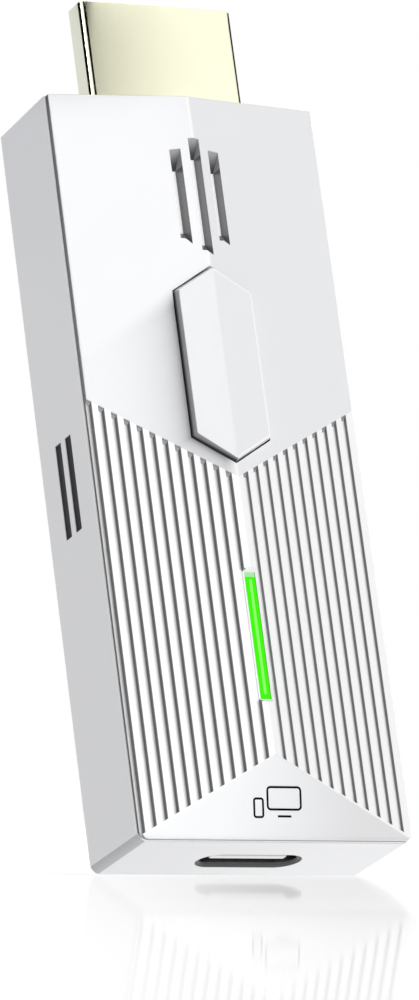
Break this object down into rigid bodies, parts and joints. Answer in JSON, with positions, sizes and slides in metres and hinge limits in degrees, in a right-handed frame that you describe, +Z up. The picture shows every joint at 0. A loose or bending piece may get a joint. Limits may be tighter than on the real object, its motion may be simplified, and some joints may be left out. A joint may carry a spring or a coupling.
{
  "type": "wireless display dongle",
  "caption": "Slim stick with a ribbed roof-shaped front, long six-sided push button, green light bar, gold video plug on one end and a charging socket in the other.",
  "frame": {"origin": "middle of the bottom end, half way between the button's ridge and the back face", "axes": "+Z up the body towards the video plug, -Y out of the ribbed front, +X across the body"},
  "size_m": [0.0242, 0.0114, 0.0729],
  "materials": {
    "white_shell": "satin moulded white plastic",
    "white_button": "satin moulded white plastic",
    "light_guide": "clear light pipe lit green",
    "lamp_resin": "clear resin lamps",
    "plug_plating": "pale gold plating, polished",
    "contact_plating": "gold plating",
    "black_moulding": "black moulded resin",
    "white_moulding": "white moulded resin",
    "socket_steel": "drawn steel, dull",
    "board_laminate": "green solder mask",
    "chip_resin": "moulded chip package",
    "ferrite": "pressed ferrite",
    "shield_steel": "tinned sheet steel",
    "pad_silicone": "soft grey-blue gap pad",
    "spreader_aluminium": "plain aluminium sheet",
    "ceramic_body": "fired ceramic",
    "screw_steel": "zinc plated"
  },
  "bodies": {
    "housing": {"front_cover": "white_shell", "rear_housing": "white_shell", "light_bar": "light_guide", "status_lamps": "lamp_resin", "plug_shell": "plug_plating", "plug_insulator": "black_moulding", "plug_contacts": "contact_plating", "socket_shell": "socket_steel", "socket_tongue": "white_moulding", "socket_contacts": "contact_plating", "main_board": "board_laminate", "board_screws": "screw_steel", "processor_chip": "chip_resin", "memory_chips": "chip_resin", "flash_chip": "chip_resin", "power_chip": "chip_resin", "power_inductors": "ferrite", "shield_frame": "shield_steel", "shield_lid": "shield_steel", "thermal_pads": "pad_silicone", "heat_spreader": "spreader_aluminium", "radio_module": "board_laminate", "radio_lid": "shield_steel", "chip_antennas": "ceramic_body", "crystals": "shield_steel", "signal_chokes": "ferrite", "capacitors": "ceramic_body", "resistors": "chip_resin", "switch_base": "black_moulding", "switch_cover": "shield_steel", "switch_terminals": "shield_steel", "switch_dome": "shield_steel"},
    "button": {"button_cap": "white_button"},
    "plunger": {"switch_plunger": "black_moulding"}
  },
  "joints": [
    {"name": "button_press", "type": "slide", "parent": "housing", "child": "button", "axis": [0, 1, 0], "range_m": [0, 0.00025], "stiffness_N_per_m": 1200, "springref_m": -0.001},
    {"name": "switch_press", "type": "slide", "parent": "housing", "child": "plunger", "axis": [0, 1, 0], "range_m": [0, 0.00025], "deforming": ["switch_dome"]}
  ],
  "couplings": [
    {"joint": "switch_press", "follows": "button_press", "ratio": 1}
  ]
}
